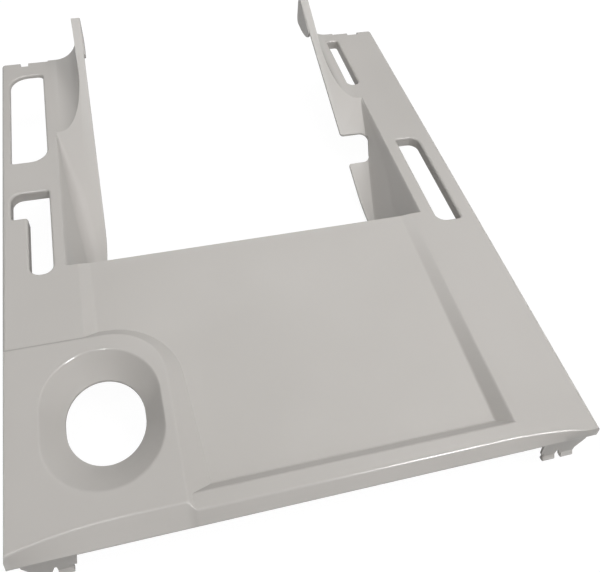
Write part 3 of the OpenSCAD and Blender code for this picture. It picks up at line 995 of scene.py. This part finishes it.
def moulded_plastic():
    """Warm light grey plastic with a soft gloss, faint mottling and paler edges."""
    mat = bpy.data.materials.new("moulded_plastic")
    mat.use_nodes = True
    tree = mat.node_tree
    link = tree.links.new
    shader = tree.nodes["Principled BSDF"]
    shader.inputs["Specular IOR Level"].default_value = SPECULAR
    shader.inputs["IOR"].default_value = IOR
    coords = node(tree, "ShaderNodeTexCoord", (-900, 0))
    broad = node(tree, "ShaderNodeTexNoise", (-700, 150))
    broad.inputs["Scale"].default_value = MOTTLE_SCALE
    broad.inputs["Detail"].default_value = 2.0
    link(coords.outputs["Object"], broad.inputs["Vector"])
    ramp = node(tree, "ShaderNodeValToRGB", (-480, 200))
    for element, (place, colour) in zip(ramp.color_ramp.elements, MOTTLE):
        element.position = place
        element.color = colour
    link(broad.outputs["Fac"], ramp.inputs["Fac"])
    shape = node(tree, "ShaderNodeNewGeometry", (-900, 400))
    worn = mapped(tree, shape.outputs["Pointiness"], WORN_BAND, (-700, 400))
    pale = node(tree, "ShaderNodeMix", (-200, 200), data_type="RGBA")
    pale.inputs["B"].default_value = WORN_GREY
    link(worn, pale.inputs["Factor"])
    link(ramp.outputs["Color"], pale.inputs["A"])
    link(pale.outputs["Result"], shader.inputs["Base Color"])
    grain = node(tree, "ShaderNodeTexNoise", (-700, -150))
    grain.inputs["Scale"].default_value = GRAIN_SCALE
    grain.inputs["Detail"].default_value = 3.0
    link(coords.outputs["Object"], grain.inputs["Vector"])
    rough = node(tree, "ShaderNodeMapRange", (-480, -100))
    rough.inputs["To Min"].default_value, rough.inputs["To Max"].default_value = ROUGHNESS
    link(grain.outputs["Fac"], rough.inputs["Value"])
    link(rough.outputs["Result"], shader.inputs["Roughness"])
    peel = node(tree, "ShaderNodeBump", (-250, -300))
    peel.inputs["Strength"].default_value = BUMP_STRENGTH
    peel.inputs["Distance"].default_value = BUMP_DEPTH
    link(grain.outputs["Fac"], peel.inputs["Height"])
    link(peel.outputs["Normal"], shader.inputs["Normal"])
    return mat


def floor_material():
    """Pale floor that the camera sees as nearly white, with a faint shadow."""
    mat = bpy.data.materials.new("pale_floor")
    mat.use_nodes = True
    tree = mat.node_tree
    link = tree.links.new
    shader = tree.nodes["Principled BSDF"]
    shader.inputs["Base Color"].default_value = FLOOR_GREY
    shader.inputs["Roughness"].default_value = FLOOR_ROUGHNESS
    glow = node(tree, "ShaderNodeEmission", (0, -200))
    glow.inputs["Color"].default_value = (1, 1, 1, 1)
    glow.inputs["Strength"].default_value = FLOOR_GLOW
    path = node(tree, "ShaderNodeLightPath", (-400, 200))
    share = node(tree, "ShaderNodeMath", (-200, 200), operation="MULTIPLY")
    share.inputs[1].default_value = FLOOR_GLOW_SHARE
    mix = node(tree, "ShaderNodeMixShader", (250, 0))
    link(path.outputs["Is Camera Ray"], share.inputs[0])
    link(share.outputs["Value"], mix.inputs["Fac"])
    link(shader.outputs["BSDF"], mix.inputs[1])
    link(glow.outputs["Emission"], mix.inputs[2])
    link(mix.outputs["Shader"], tree.nodes["Material Output"].inputs["Surface"])
    return mat


# Stage and light


def add_stage():
    half = FLOOR_HALF_W
    floor = mesh_object("floor", [(-half, -half, 0), (half, -half, 0), (half, half, 0),
                                  (-half, half, 0)], [(0, 1, 2, 3)])
    floor.location.z = CAD_BOX[0][2] - FLOOR_GAP
    floor.data.materials.append(floor_material())


def add_lamp(name, at, size, power, in_gloss, in_diffuse):
    """Rectangular lamp aimed at the middle of the cover."""
    data = bpy.data.lights.new(name, "AREA")
    data.shape = "RECTANGLE"
    data.size, data.size_y = size
    data.energy = power
    lamp = bpy.data.objects.new(name, data)
    lamp.location = at
    lamp.rotation_euler = (-Vector(at)).to_track_quat("-Z", "Y").to_euler()
    lamp.visible_glossy = in_gloss
    lamp.visible_diffuse = in_diffuse
    bpy.context.scene.collection.objects.link(lamp)


def add_world():
    """Soft sky: it lights from the front at middle height and from low down
    behind, gloss sees its own bands and a bright zenith, and the camera white."""
    world = bpy.data.worlds.new("studio")
    world.use_nodes = True
    tree = world.node_tree
    link = tree.links.new
    background = tree.nodes["Background"]
    coords = node(tree, "ShaderNodeTexCoord", (-1400, 0))
    split = node(tree, "ShaderNodeSeparateXYZ", (-1200, 0))
    link(coords.outputs["Generated"], split.inputs["Vector"])
    side, depth, height = (split.outputs[axis] for axis in "XYZ")
    behind = mapped(tree, depth, BEHIND, (-900, 0))
    before = mapped(tree, depth, BEFORE, (-900, -250))

    # What lights the surfaces
    low = mapped(tree, height, LOW_SKY, (-900, 750))
    rise = mapped(tree, height, SKY_RISE, (-900, 500))
    fall = mapped(tree, height, SKY_FALL, (-900, 250))
    slant = mapped(tree, side, SKY_SLANT, (-900, -500))
    band = maths(tree, "MULTIPLY", rise, fall, (-650, 400))
    middle = maths(tree, "MULTIPLY", band, slant, (-450, 400))
    sky = maths(tree, "ADD", maths(tree, "MULTIPLY", low, behind, (-650, 700)),
                maths(tree, "MULTIPLY", middle, before, (-250, 400)), (-50, 500))

    # What gloss sees, with a brighter patch high on the right
    gloss = node(tree, "ShaderNodeMix", (-300, -200), data_type="RGBA")
    link(behind, gloss.inputs["Factor"])
    link(grey_ramp(tree, height, FRONT_SKY, (-650, -400)), gloss.inputs["A"])
    link(grey_ramp(tree, height, REAR_SKY, (-650, -100)), gloss.inputs["B"])
    patch = maths(tree, "MULTIPLY", mapped(tree, side, PATCH_SIDE, (-650, -700)),
                  mapped(tree, height, PATCH_HEIGHT, (-650, -950)), (-450, -800))
    shine = maths(tree, "ADD", gloss.outputs["Result"], patch, (-50, -300))

    path = node(tree, "ShaderNodeLightPath", (-50, 800))
    pick = node(tree, "ShaderNodeMix", (150, 200))
    link(path.outputs["Is Glossy Ray"], pick.inputs["Factor"])
    link(sky, pick.inputs["A"])
    link(shine, pick.inputs["B"])
    seen = node(tree, "ShaderNodeMix", (350, 300))
    seen.inputs["B"].default_value = 1.0
    link(path.outputs["Is Camera Ray"], seen.inputs["Factor"])
    link(pick.outputs["Result"], seen.inputs["A"])
    link(seen.outputs["Result"], background.inputs["Strength"])
    background.inputs["Color"].default_value = SKY_COLOUR
    bpy.context.scene.world = world


add_camera()
cover = build_cover()
cover.data.materials.clear()
cover.data.materials.append(moulded_plastic())
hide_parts("rear_cover")
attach(cover, "root")
add_stage()
add_world()
for lamp in LAMPS:
    add_lamp(*lamp)
bpy.context.scene.view_settings.view_transform = "Standard"
